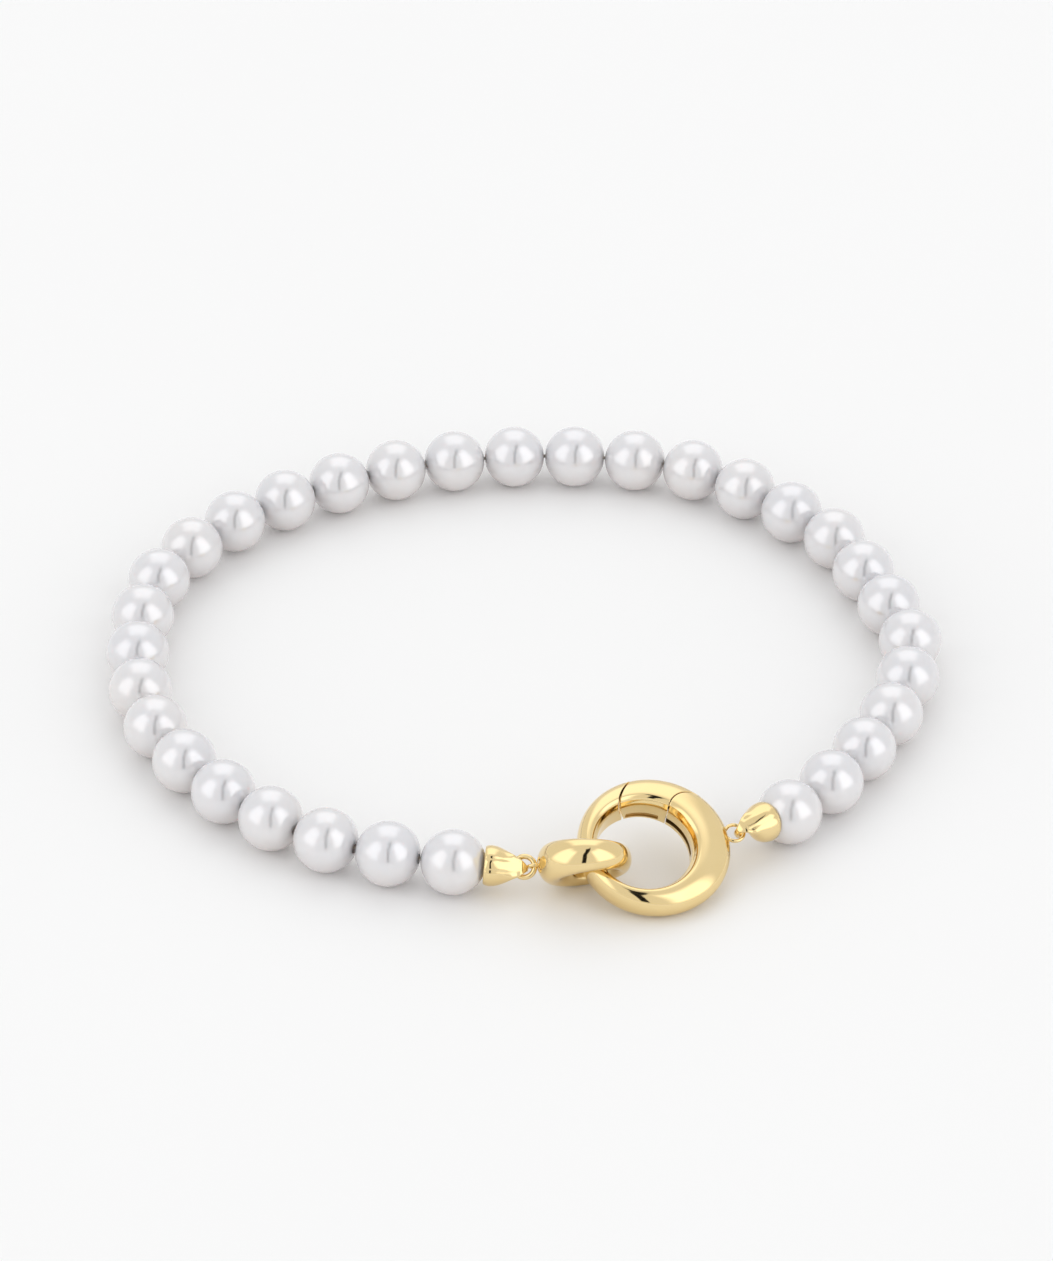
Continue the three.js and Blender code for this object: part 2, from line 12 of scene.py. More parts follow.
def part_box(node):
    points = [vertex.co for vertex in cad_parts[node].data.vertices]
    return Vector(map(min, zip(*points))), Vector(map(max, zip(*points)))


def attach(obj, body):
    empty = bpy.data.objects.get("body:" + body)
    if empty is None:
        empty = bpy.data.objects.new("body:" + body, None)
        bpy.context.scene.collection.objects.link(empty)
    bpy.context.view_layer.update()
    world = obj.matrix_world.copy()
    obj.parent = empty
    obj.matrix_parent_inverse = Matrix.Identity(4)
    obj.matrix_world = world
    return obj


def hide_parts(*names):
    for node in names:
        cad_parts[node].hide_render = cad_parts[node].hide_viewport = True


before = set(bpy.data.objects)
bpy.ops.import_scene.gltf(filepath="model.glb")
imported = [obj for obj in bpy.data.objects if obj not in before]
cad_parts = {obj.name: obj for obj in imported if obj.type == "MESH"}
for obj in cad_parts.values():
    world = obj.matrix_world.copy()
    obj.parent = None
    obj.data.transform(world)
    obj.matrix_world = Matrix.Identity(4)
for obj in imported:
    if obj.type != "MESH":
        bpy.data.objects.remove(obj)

MM = 0.001
UP = Vector((0, 0, 1))
SHARP_ABOVE = 38.0
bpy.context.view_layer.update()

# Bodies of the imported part
STRAND = "bracelet"
GATE = "gate"

# Camera: where it stands (mm), how far it looks down and to the side, and its picture
CAMERA_PLACE = (4.19, -349.0, 258.52)
CAMERA_DOWN = 36.0
CAMERA_TURN = 0.658
FRAME_HEIGHT_PX = 1261
FOCAL_PX = 5454.0

# Pearls and thread (mm)
PEARL_COUNT = 32
PEARL_RADIUS = 2.5
PEARL_HOLE = 0.4
PEARL_SIDES = 64
PEARL_STEPS = 40
PEARL_EDGE = 0.985
PEARL_UNEVEN = 0.003
PEARL_UNEVEN_SCALE = 0.45
DRILL_RADIUS = 0.36
THREAD_RADIUS = 0.14
THREAD_SIDES = 16
THREAD_STEPS = 14
THREAD_TWIST = 26.0
THREAD_SOCKET = 0.5
PLY_DEPTH = 0.14

# Points that the fastening hangs on (mm), and how its rings lean (degrees)
LOOP_HOLD = Vector((16.9033, -22.9794, 3.0648))
CLASP_CENTRE = Vector((9.3167, -25.4333, 2.9148))
LINK_CENTRE = Vector((4.8441, -26.9509, 3.0687))
EYE_HOLD = Vector((1.0083, -26.8148, 2.4673))
HOOK_HOLD = Vector((-0.5356, -26.6931, 2.2096))
CLASP_TILT = 21.5
LINK_TILT = 48.0
JUMP_RING_TILT = 43.0

# Clasp ring (mm)
CLASP_HOLE_RADIUS = 3.65
CLASP_RADIUS = 5.85
CLASP_SHIFT = 0.86
CLASP_SHIFT_ANGLE = 10.0
CLASP_HALF_HEIGHT = 1.3
WALL_TOP = 0.56
WALL_BOTTOM = -1.08
BEVEL_DEPTH = 0.26
BEVEL_TOP = 1.02
BEVEL_EDGE = 0.03
CREST_OFFSET = 0.64
FOOT_SLOPE = 0.6
INNER_STEPS = 14
OUTER_STEPS = 26
WALL_STEPS = 8
LOOP_X = 7.265
LOOP_RADIUS = 0.71
LOOP_WIRE = 0.14
PIN_PLACE = (4.78, 21.7)
KNUCKLE_RADIUS = 1.97
LATCH_INNER = 109.0
LATCH_OUTER = 87.0
LATCH_BOW = 0.12
LATCH_GAP = 0.14
LATCH_LEAN = 0.3
HINGE_GAP = 0.06
CUT_EDGE = 0.05
TAB_RADIUS = 0.85
TAB_WIDTH = 1.0
TAB_REACH = 0.5
TAB_LEVELS = (-0.68, -0.31)
TAB_ANGLE = 109.7
BORE_RADIUS = 0.36
RING_BORE_LEVELS = (-2.0, 0.47)
TAB_BORE_LEVELS = (-1.0, 0.3)
SLOT_LEVELS = (-0.76, -0.23)
SLOT_END = -14.0
SLOT_GAP = 0.1
SLOT_NECK = 0.75
SLOT_ROUND = (-53.3, 66.0)
SLOT_MOUTH = (81.7, 60.0, 40.0, 20.0, 0.0, SLOT_END)
SLOT_DEPTH = 0.42
SLOT_REACH = 1.0
SLOT_OVERRUN = 1.2
GROOVE = {"start": 54.0, "end": 94.0, "depth": 0.09, "overrun": 0.8, "levels": (-0.92, -0.42)}

# Ring link (mm)
LINK_RADIUS = 3.575
LINK_HOLE_RADIUS = 1.8
LINK_SHIFT = 0.4
LINK_THICK = 1.5
LINK_THIN = 1.03
LINK_SQUARENESS = 0.82
LINK_EYE_X = -3.825
LINK_EYE_RADIUS = 0.45
LINK_EYE_WIRE = 0.12

# Jump ring and end caps (mm)
JUMP_RING_RADIUS = 0.785
JUMP_RING_WIRE = 0.21
JUMP_RING_FORWARD = 0.1
CAP_RIM_X = 2.156
HOOK_EYE_RADIUS = 0.5
TONGUE_THICKNESS = 0.28
TONGUE_WIDTHS = (0.74, 0.22)
SEAT_RADIUS = 2.56
SEAT_RIM = 1.36
SOCKET_DEPTH = 0.8
SOCKET_RADIUS = 0.4
SOCKET_END_RADIUS = 0.38
LEFT_CAP_SHIFT = 0.2
CAP_SIDES = 144

# Room light: where each soft light lies (compass and height ranges, degrees) and how bright it is
RIGHT_LIGHT = ((34.0, 82.0), (4.0, 60.0), 0.75)
LEFT_LIGHT = ((-90.0, -38.0), (6.0, 60.0), 0.62)
LIGHT_EDGE = 8.0
BACK_LIGHT = 0.5
ROOM_LIGHT = 0.86

# Dark gap between the lights: its middle below and above, half width, foot, head and brightness
GAP_MIDDLE = (0.035, 0.135)
GAP_HALF_WIDTH = (0.075, 0.1)
GAP_FOOT = (3.0, 10.0)
GAP_HEAD = (74.0, 80.0)
GAP_LIGHT = 0.015


# Meshes

def finish_mesh(name, bm, material, smooth_below=SHARP_ABOVE):
    """An object from a bmesh in mm: faces out, smooth but for edges sharper than the angle."""
    bmesh.ops.recalc_face_normals(bm, faces=bm.faces)
    if bm.calc_volume(signed=True) < 0:
        bmesh.ops.reverse_faces(bm, faces=bm.faces)
    bmesh.ops.scale(bm, vec=(MM, MM, MM), verts=bm.verts)
    mesh = bpy.data.meshes.new(name)
    bm.to_mesh(mesh)
    bm.free()
    mesh.polygons.foreach_set("use_smooth", [True] * len(mesh.polygons))
    mesh.set_sharp_from_angle(angle=math.radians(smooth_below))
    mesh.materials.append(material)
    thing = bpy.data.objects.new(name, mesh)
    bpy.context.scene.collection.objects.link(thing)
    return thing


def grid_faces(bm, rows, close_rows=False, close_columns=True):
    """Quads between rows of vertices of equal length."""
    spans = len(rows) if close_rows else len(rows) - 1
    for i in range(spans):
        a, b = rows[i], rows[(i + 1) % len(rows)]
        count = len(a)
        for j in range(count if close_columns else count - 1):
            k = (j + 1) % count
            corners = []
            for vert in (a[j], a[k], b[k], b[j]):
                if vert not in corners:
                    corners.append(vert)
            if len(corners) > 2:
                bm.faces.new(corners)


def rows_of(bm, points):
    return [[bm.verts.new(p) for p in row] for row in points]


def capped_rows(points):
    """A bmesh of rows of points joined side by side, closed by a flat face at either end."""
    bm = bmesh.new()
    rows = rows_of(bm, points)
    grid_faces(bm, rows)
    bm.faces.new(rows[0])
    bm.faces.new(rows[-1])
    return bm


def polar(radius, degrees, height=0.0):
    angle = math.radians(degrees)
    return Vector((radius * math.cos(angle), radius * math.sin(angle), height))


def mix(a, b, t):
    return a + (b - a) * t


def eased(t):
    t = min(max(t, 0.0), 1.0)
    return t * t * (3 - 2 * t)


def frame_at(origin, along, lean):
    """Matrix of a piece: its x axis follows `along` and its z axis leans towards `lean`."""
    x = along.normalized()
    z = (lean - x * lean.dot(x)).normalized()
    y = z.cross(x)
    turn = Matrix((x, y, z)).transposed().to_4x4()
    return Matrix.Translation(origin) @ turn


def tilted_up(along, degrees):
    return Matrix.Rotation(math.radians(degrees), 3, along.normalized()) @ UP


def stand_in(piece, body, node):
    """Says which body a piece rides on and which solid it replaces."""
    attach(piece, body)
    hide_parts(node)


def cut_with(target, cutter, operation):
    """Joins or cuts two objects for good, and removes the second."""
    step = target.modifiers.new("cut", "BOOLEAN")
    step.operation = operation
    step.solver = "EXACT"
    step.material_mode = "TRANSFER"
    step.object = cutter
    graph = bpy.context.evaluated_depsgraph_get()
    made = bpy.data.meshes.new_from_object(target.evaluated_get(graph))
    target.modifiers.clear()
    old = target.data
    target.data = made
    made.name = old.name
    bpy.data.meshes.remove(old)
    bpy.data.objects.remove(cutter)
    made.polygons.foreach_set("use_smooth", [True] * len(made.polygons))
    made.set_sharp_from_angle(angle=math.radians(SHARP_ABOVE))


def prism(name, outline, levels, place, material):
    """An upright block on a 2-D outline, between two levels, in the piece's own frame."""
    rows = [[place @ Vector((p.x, p.y, z)) for p in outline] for z in levels]
    return finish_mesh(name, capped_rows(rows), material)


def torus(name, radius, wire, centre, place, material, steps=72, sides=24):
    """A wire ring round a centre, in the plane of the piece's own frame."""
    bm = bmesh.new()
    rows = []
    for i in range(steps):
        turn = 360.0 * i / steps
        ring = []
        for j in range(sides):
            around = polar(wire, 360.0 * j / sides)
            ring.append(place @ (centre + polar(radius + around.x, turn, around.y)))
        rows.append(ring)
    grid_faces(bm, rows_of(bm, rows), close_rows=True)
    return finish_mesh(name, bm, material)


# Materials

def node_material(name):
    material = bpy.data.materials.new(name)
    material.use_nodes = True
    tree = material.node_tree
    shader = tree.nodes["Principled BSDF"]
    return material, tree, shader


def noise_node(tree, scale, detail=3.0, roughness=0.5):
    place = tree.nodes.new("ShaderNodeTexCoord")
    texture = tree.nodes.new("ShaderNodeTexNoise")
    texture.inputs["Scale"].default_value = scale
    texture.inputs["Detail"].default_value = detail
    texture.inputs["Roughness"].default_value = roughness
    tree.links.new(place.outputs["Object"], texture.inputs["Vector"])
    return texture


def ramp_node(tree, source, stops):
    ramp = tree.nodes.new("ShaderNodeValToRGB")
    while len(ramp.color_ramp.elements) < len(stops):
        ramp.color_ramp.elements.new(0.5)
    for element, (position, colour) in zip(ramp.color_ramp.elements, stops):
        element.position = position
        element.color = (*colour, 1.0)
    tree.links.new(source, ramp.inputs["Fac"])
    return ramp


def bump_node(tree, source, shader, strength, distance):
    bump = tree.nodes.new("ShaderNodeBump")
    bump.inputs["Strength"].default_value = strength
    bump.inputs["Distance"].default_value = distance
    tree.links.new(source, bump.inputs["Height"])
    tree.links.new(bump.outputs["Normal"], shader.inputs["Normal"])


def spread_node(tree, source, low, high):
    spread = tree.nodes.new("ShaderNodeMapRange")
    spread.inputs["To Min"].default_value = low
    spread.inputs["To Max"].default_value = high
    tree.links.new(source, spread.inputs["Value"])
    return spread


def gold_material(name, colours, roughness, bump=0.02):
    """Polished plate: slow tone changes, a faint haze in the polish and fine polishing marks."""
    material, tree, shader = node_material(name)
    shader.inputs["Metallic"].default_value = 1.0
    tone = noise_node(tree, 260.0, 2.0)
    ramp = ramp_node(tree, tone.outputs["Fac"], [(0.3, colours[0]), (0.7, colours[1])])
    tree.links.new(ramp.outputs["Color"], shader.inputs["Base Color"])
    haze = noise_node(tree, 900.0, 4.0)
    spread = spread_node(tree, haze.outputs["Fac"], roughness[0], roughness[1])
    tree.links.new(spread.outputs["Result"], shader.inputs["Roughness"])
    marks = noise_node(tree, 5200.0, 2.0)
    bump_node(tree, marks.outputs["Fac"], shader, bump, 0.00002)
    return material


def pearl_material(name):
    """Nacre: a white body with a slow warm and cool drift, a painted reflection that is warm below
    and cool above, and a soft satin reflection over it.
    """
    material, tree, shader = node_material(name)
    shader.inputs["Metallic"].default_value = 0.42
    shader.inputs["IOR"].default_value = 1.55
    shader.inputs["Subsurface Weight"].default_value = 0.5
    shader.inputs["Subsurface Radius"].default_value = (1.0, 0.85, 0.8)
    shader.inputs["Subsurface Scale"].default_value = 0.0015
    tone = noise_node(tree, 140.0, 2.0)
    stops = [(0.25, (0.77, 0.765, 0.785)), (0.5, (0.79, 0.78, 0.79)), (0.75, (0.8, 0.78, 0.775))]
    ramp = ramp_node(tree, tone.outputs["Fac"], stops)
    # Painted reflection: each pearl's colour turns warmer towards its bottom and cooler towards its
    # top
    place = tree.nodes.new("ShaderNodeTexCoord")
    split = tree.nodes.new("ShaderNodeSeparateXYZ")
    tree.links.new(place.outputs["Generated"], split.inputs[0])
    stops = [(0.15, (1.0, 0.955, 0.93)), (0.5, (1.0, 0.995, 0.99)), (0.85, (0.985, 0.99, 1.0))]
    painted_warm_reflection = ramp_node(tree, split.outputs[2], stops)
    tint = tree.nodes.new("ShaderNodeMix")
    tint.data_type = "RGBA"
    tint.blend_type = "MULTIPLY"
    tint.inputs[0].default_value = 1.0
    tree.links.new(ramp.outputs["Color"], tint.inputs[6])
    tree.links.new(painted_warm_reflection.outputs["Color"], tint.inputs[7])
    tree.links.new(tint.outputs[2], shader.inputs["Base Color"])
    lustre = noise_node(tree, 500.0, 3.0)
    spread = spread_node(tree, lustre.outputs["Fac"], 0.15, 0.21)
    tree.links.new(spread.outputs["Result"], shader.inputs["Roughness"])
    skin = noise_node(tree, 2600.0, 3.0)
    bump_node(tree, skin.outputs["Fac"], shader, 0.03, 0.00003)
    return material


def thread_material(name):
    """Silk: matt, with fine fibres in two shades."""
    material, tree, shader = node_material(name)
    shader.inputs["Roughness"].default_value = 0.7
    shader.inputs["Sheen Weight"].default_value = 0.2
    fibre = noise_node(tree, 9000.0, 4.0)
    stops = [(0.3, (0.42, 0.36, 0.29)), (0.7, (0.66, 0.6, 0.52))]
    ramp = ramp_node(tree, fibre.outputs["Fac"], stops)
    tree.links.new(ramp.outputs["Color"], shader.inputs["Base Color"])
    bump_node(tree, fibre.outputs["Fac"], shader, 0.3, 0.00003)
    return material


def floor_material(name):
    """Plain pale paper with hardly any drift in tone."""
    material, tree, shader = node_material(name)
    shader.inputs["Roughness"].default_value = 0.75
    shader.inputs["Specular IOR Level"].default_value = 0.2
    tone = noise_node(tree, 12.0, 2.0)
    stops = [(0.3, (0.908, 0.908, 0.908)), (0.7, (0.918, 0.918, 0.918))]
    ramp = ramp_node(tree, tone.outputs["Fac"], stops)
    tree.links.new(ramp.outputs["Color"], shader.inputs["Base Color"])
    return material


GOLD = gold_material("polished_gold", ((0.86, 0.665, 0.33), (0.89, 0.7, 0.37)), (0.05, 0.09))
# Gold for the hinge slot and the groove: rough, with dark brown colours that are painted shade for
# these recesses
GOLD_PAINTED_RECESS_SHADE = gold_material("rough_gold_painted_recess_shade", ((0.34, 0.19, 0.05), (0.62, 0.4, 0.14)), (0.3, 0.5),
                            bump=0.4)
PEARL = pearl_material("pearl_nacre")
THREAD = thread_material("silk_thread")
FLOOR = floor_material("pale_floor")


# Pearls on their thread

def node_centre(node):
    low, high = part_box(node)
    return (low + high) * 0.5 / MM


pearl_names = [f"pearl_{i:02d}" for i in range(1, PEARL_COUNT + 1)]
pearl_centres = [node_centre(node) for node in pearl_names]
string_points = [HOOK_HOLD, *pearl_centres, LOOP_HOLD]


def pearl_piece(index, node, centre, along):
    """A drilled ball, very slightly uneven as a pearl is, with a softened edge at the drill hole."""
    bm = bmesh.new()
    place = frame_at(centre, along, UP)
    start = math.asin(PEARL_HOLE / PEARL_RADIUS)
    rows = []
    for i in range(PEARL_STEPS + 1):
        angle = mix(start, math.pi - start, i / PEARL_STEPS)
        edge = min(i, PEARL_STEPS - i)
        radius = PEARL_RADIUS * (PEARL_EDGE if edge == 0 else 1.0)
        rows.append((-radius * math.cos(angle), radius * math.sin(angle)))
    depth = rows[0][0] * 0.6
    rows.append((-depth, DRILL_RADIUS))
    rows.append((depth, DRILL_RADIUS))
    seed = Vector((7.3 * index, 1.9 * index, 0.7))
    points = []
    for x, radius in rows:
        ring = []
        for j in range(PEARL_SIDES):
            around = polar(radius, 360.0 * j / PEARL_SIDES)
            p = Vector((x, around.x, around.y))
            if abs(p.length - PEARL_RADIUS) < 0.01:
                p *= 1 - PEARL_UNEVEN + PEARL_UNEVEN * noise.noise(p * PEARL_UNEVEN_SCALE + seed)
            ring.append(place @ p)
        points.append(ring)
    grid_faces(bm, rows_of(bm, points), close_rows=True)
    piece = finish_mesh(f"{node}_nacre", bm, PEARL)
    stand_in(piece, STRAND, node)


def thread_piece():
    """Two twisted plies through every drill hole, ending inside both caps."""
    reach = SEAT_RADIUS + THREAD_SOCKET
    first, last = pearl_centres[0], pearl_centres[-1]
    route = [first + (HOOK_HOLD - first).normalized() * reach, *pearl_centres,
             last + (LOOP_HOLD - last).normalized() * reach]
    path = []
    for i in range(len(route) - 1):
        before = route[max(i - 1, 0)]
        after = route[min(i + 2, len(route) - 1)]
        for k in range(THREAD_STEPS):
            t = k / THREAD_STEPS
            a, b = route[i], route[i + 1]
            bend_a = (b - before) * 0.5
            bend_b = (after - a) * 0.5
            path.append(a * (2 * t**3 - 3 * t**2 + 1) + bend_a * (t**3 - 2 * t**2 + t)
                        + b * (3 * t**2 - 2 * t**3) + bend_b * (t**3 - t**2))
    path.append(route[-1])
    rows = []
    for i, p in enumerate(path):
        along = path[min(i + 1, len(path) - 1)] - path[max(i - 1, 0)]
        place = frame_at(p, along, UP)
        twist = THREAD_TWIST * i
        ring = []
        for j in range(THREAD_SIDES):
            turn = 360.0 * j / THREAD_SIDES
            ply = math.cos(math.radians(2 * (turn - twist)))
            radius = THREAD_RADIUS * (1 - PLY_DEPTH + PLY_DEPTH * ply)
            around = polar(radius, turn)
            ring.append(place @ Vector((0, around.x, around.y)))
        rows.append(ring)
    piece = finish_mesh("stringing_thread_twisted", capped_rows(rows), THREAD)
    stand_in(piece, STRAND, "stringing_thread")


for index, (node, centre) in enumerate(zip(pearl_names, pearl_centres)):
    pearl_piece(index, node, centre, string_points[index + 2] - string_points[index])
thread_piece()


# Clasp ring and gate

clasp_along = LOOP_HOLD - LINK_CENTRE
clasp_lean = tilted_up(clasp_along, CLASP_TILT)
clasp_place = frame_at(CLASP_CENTRE, clasp_along, clasp_lean)
pin_centre = polar(*PIN_PLACE)


def outer_reach(radius, shift, degrees):
    """How far a circle of this radius, shifted along 0 degrees, reaches in a direction."""
    across = shift * math.sin(math.radians(degrees))
    return shift * math.cos(math.radians(degrees)) + math.sqrt(radius**2 - across**2)


def clasp_profile(degrees):
    """Top half of the clasp's section, from the wall's top edge to the outside: (radius, height)."""
    hole = CLASP_HOLE_RADIUS
    reach = outer_reach(CLASP_RADIUS, CLASP_SHIFT, degrees - CLASP_SHIFT_ANGLE)
    crest = hole + CREST_OFFSET
    lift = BEVEL_TOP / CLASP_HALF_HEIGHT
    width = (crest - hole - BEVEL_DEPTH) / math.sqrt(1 - lift**2)
    points = [(hole, WALL_TOP), (hole + BEVEL_EDGE, WALL_TOP + 3 * BEVEL_EDGE)]
    points.append((hole + BEVEL_DEPTH * 0.52, mix(WALL_TOP, BEVEL_TOP, 0.58)))
    points.append((hole + BEVEL_DEPTH - BEVEL_EDGE / 2, BEVEL_TOP - BEVEL_EDGE))
    start = math.asin((crest - hole - BEVEL_DEPTH) / width)
    for i in range(INNER_STEPS):
        turn = start * (1 - i / INNER_STEPS)
        points.append((crest - width * math.sin(turn), CLASP_HALF_HEIGHT * math.cos(turn)))
    for i in range(OUTER_STEPS + 1):
        turn = 0.5 * math.pi * i / OUTER_STEPS
        points.append((crest + (reach - crest) * math.sin(turn), CLASP_HALF_HEIGHT * math.cos(turn)))
    return points


def clasp_section(degrees):
    """Whole section as (radius, height), from the wall's foot up, over the top and back below."""
    top = clasp_profile(degrees)
    wall = [(top[0][0], mix(WALL_BOTTOM, WALL_TOP, i / WALL_STEPS)) for i in range(WALL_STEPS)]
    below = []
    for radius, height in top:
        foot = FOOT_SLOPE * (radius - CLASP_HOLE_RADIUS) - WALL_BOTTOM
        foot = min(foot, CLASP_HALF_HEIGHT - BEVEL_EDGE)
        inside = radius < CLASP_HOLE_RADIUS + CREST_OFFSET
        below.append((radius, -max(height, foot) if inside else -height))
    return wall + top + below[-2:0:-1]


def latch_angle(radius, height, clearance):
    """Angle at which the latch face crosses a radius: a slanted line with a slight S in it."""
    inner = polar(CLASP_HOLE_RADIUS, LATCH_INNER)
    outer = polar(CLASP_RADIUS, LATCH_OUTER)
    slant = outer - inner
    aside = Vector((slant.y, -slant.x, 0)).normalized()
    clearance += LATCH_LEAN * (1 - height / CLASP_HALF_HEIGHT)
    low, high = -0.5, 1.8
    for _ in range(36):
        t = (low + high) / 2
        bend = -LATCH_BOW * math.sin(math.pi * t / 0.9)
        p = inner + slant * t + aside * (bend + clearance)
        if p.length < radius:
            low = t
        else:
            high = t
    return math.degrees(math.atan2(p.y, p.x))


def hinge_angle(radius, clearance):
    """Angle at which the round knuckle's face crosses a radius."""
    reach = KNUCKLE_RADIUS + clearance
    share = (radius**2 + PIN_PLACE[0]**2 - reach**2) / (2 * radius * PIN_PLACE[0])
    return PIN_PLACE[1] + math.degrees(math.acos(min(max(share, -1.0), 1.0)))


def inset(section, amount):
    """The section drawn in by an amount along its own outline's normals."""
    made = []
    count = len(section)
    for i, (x, y) in enumerate(section):
        ax, ay = section[i - 1]
        bx, by = section[(i + 1) % count]
        nx, ny = by - ay, ax - bx
        length = math.hypot(nx, ny)
        made.append((x + amount * nx / length, y + amount * ny / length))
    return made


def arc_piece(name, start_at, end_at, steps):
    """A stretch of the clasp ring between two cut faces, their edges softened by a small radius."""
    count = len(clasp_section(0.0))

    def cut_at(index, cut):
        degrees = 60.0
        for _ in range(8):
            degrees = cut(*clasp_section(degrees)[index])
        return degrees

    starts = [cut_at(j, start_at) for j in range(count)]
    ends = [cut_at(j, end_at) for j in range(count)]
    ends = [e if e > s else e + 360.0 for s, e in zip(starts, ends)]
    edge = [(CUT_EDGE, 0.0), (CUT_EDGE * 0.3, CUT_EDGE * 0.3), (0.0, CUT_EDGE)]

    def edge_ring(angles, drawn_in, back):
        ring = []
        for j, at in enumerate(angles):
            radius, height = inset(clasp_section(at), drawn_in)[j]
            ring.append(clasp_place @ polar(radius, at + math.degrees(back / radius), height))
        return ring

    points = [edge_ring(starts, drawn_in, back) for drawn_in, back in edge]
    for i in range(1, steps):
        ring = []
        for j in range(count):
            degrees = mix(starts[j], ends[j], i / steps)
            radius, height = clasp_section(degrees)[j]
            ring.append(clasp_place @ polar(radius, degrees, height))
        points.append(ring)
    points += [edge_ring(ends, drawn_in, -back) for drawn_in, back in reversed(edge)]
    bm = bmesh.new()
    rows = rows_of(bm, points)
    grid_faces(bm, rows)
    for row in (rows[0], rows[-1]):
        close_cut(bm, row)
    return finish_mesh(name, bm, GOLD)


def close_cut(bm, row):
    """Fills a cut face with upright strips between the top and the bottom of its outline."""
    columns = [row[:WALL_STEPS + 1]]
    last = (len(row) - WALL_STEPS) // 2
    for k in range(1, last):
        top = row[WALL_STEPS + k]
        bottom = row[-k]
        inner = [bm.verts.new(bottom.co.lerp(top.co, i / WALL_STEPS)) for i in range(1, WALL_STEPS)]
        columns.append([bottom, *inner, top])
    columns.append([row[WALL_STEPS + last]] * (WALL_STEPS + 1))
    grid_faces(bm, columns, close_columns=False)


def slot_outline():
    """Outline of the hinge slot in the ring's plane: round at the pin, running out along the wall."""
    room = TAB_RADIUS + SLOT_GAP
    aside = polar(TAB_WIDTH / 2 + SLOT_GAP, TAB_ANGLE - 90)
    outline = [pin_centre + aside + polar(SLOT_NECK, TAB_ANGLE),
               pin_centre + aside + polar(KNUCKLE_RADIUS + SLOT_REACH, TAB_ANGLE)]
    for degrees in SLOT_MOUTH:
        outline.append(polar(CLASP_HOLE_RADIUS - SLOT_OVERRUN, degrees))
    outline.append(polar(CLASP_HOLE_RADIUS + 0.001, SLOT_END))
    outline.append(polar(CLASP_HOLE_RADIUS + SLOT_DEPTH, SLOT_END + 6))
    for k in range(15):
        outline.append(pin_centre + polar(room, mix(*SLOT_ROUND, k / 14)))
    return outline


def round_outline(centre, radius, sides=48):
    return [centre + polar(radius, -360.0 * k / sides) for k in range(sides)]


ring_body = arc_piece("clasp_ring_body", lambda r, z: latch_angle(r, z, 0.0),
                      lambda r, z: hinge_angle(r, 0.0), 220)
# The slot's cut faces take the rough gold with painted recess shade
slot_cutter = prism("slot_cutter", slot_outline(), SLOT_LEVELS, clasp_place, GOLD_PAINTED_RECESS_SHADE)
cut_with(ring_body, slot_cutter, "DIFFERENCE")
pin_room = round_outline(pin_centre, BORE_RADIUS)
bore_cutter = prism("bore_cutter", pin_room, RING_BORE_LEVELS, clasp_place, GOLD)
cut_with(ring_body, bore_cutter, "DIFFERENCE")
loop = torus("loop", LOOP_RADIUS, LOOP_WIRE, Vector((LOOP_X, 0, 0)), clasp_place, GOLD)
cut_with(ring_body, loop, "UNION")
stand_in(ring_body, STRAND, "clasp_ring")

gate = arc_piece("clasp_gate_arm", lambda r, z: hinge_angle(r, HINGE_GAP),
                 lambda r, z: latch_angle(r, z, LATCH_GAP), 84)
groove_wall = CLASP_HOLE_RADIUS + GROOVE["depth"]
groove_open = CLASP_HOLE_RADIUS - GROOVE["overrun"]
groove_arc = [polar(groove_wall, mix(GROOVE["start"], GROOVE["end"], k / 20)) for k in range(21)]
groove_back = [polar(groove_open, mix(GROOVE["end"], GROOVE["start"], k / 12)) for k in range(13)]
groove_outline = groove_arc + groove_back
# The groove's cut faces take the rough gold with painted recess shade
groove_cutter = prism("groove_cutter", groove_outline, GROOVE["levels"], clasp_place, GOLD_PAINTED_RECESS_SHADE)
cut_with(gate, groove_cutter, "DIFFERENCE")
tab_side = polar(TAB_WIDTH / 2, TAB_ANGLE - 90)
tab_reach = polar(KNUCKLE_RADIUS + TAB_REACH, TAB_ANGLE)
neck = [pin_centre + tab_side, pin_centre + tab_side + tab_reach, pin_centre - tab_side + tab_reach]
tab_round = [pin_centre + polar(TAB_RADIUS, mix(TAB_ANGLE + 126, TAB_ANGLE + 234, k / 24))
             for k in range(25)]
tab = prism("tab", neck + tab_round, TAB_LEVELS, clasp_place, GOLD)
tab_bore = prism("tab_bore", pin_room, TAB_BORE_LEVELS, clasp_place, GOLD)
cut_with(tab, tab_bore, "DIFFERENCE")
cut_with(gate, tab, "UNION")
stand_in(gate, GATE, "clasp_gate")


# Ring link and jump ring

link_along = LINK_CENTRE - EYE_HOLD
link_place = frame_at(LINK_CENTRE, link_along, tilted_up(link_along, -LINK_TILT))


def link_piece():
    """The graduated oval ring, thickest at its eye and flatter on its inner side."""
    steps, sides = 160, 64
    points = []
    for i in range(steps):
        degrees = 360.0 * i / steps
        inner = LINK_HOLE_RADIUS
        outer = outer_reach(LINK_RADIUS, -LINK_SHIFT, degrees)
        half = mix(LINK_THICK, LINK_THIN, (1 + math.cos(math.radians(degrees))) / 2)
        ring = []
        for j in range(sides):
            turn = math.radians(360.0 * j / sides)
            reach, height = math.cos(turn), math.sin(turn)
            power = LINK_SQUARENESS if reach < 0 else 1.0
            reach = math.copysign(abs(reach)**power, reach)
            across = (inner + outer) / 2 + (outer - inner) / 2 * reach
            p = polar(across, degrees, half * height) + Vector((LINK_SHIFT, 0, 0))
            ring.append(link_place @ p)
        points.append(ring)
    bm = bmesh.new()
    grid_faces(bm, rows_of(bm, points), close_rows=True)
    return finish_mesh("ring_link_body", bm, GOLD)


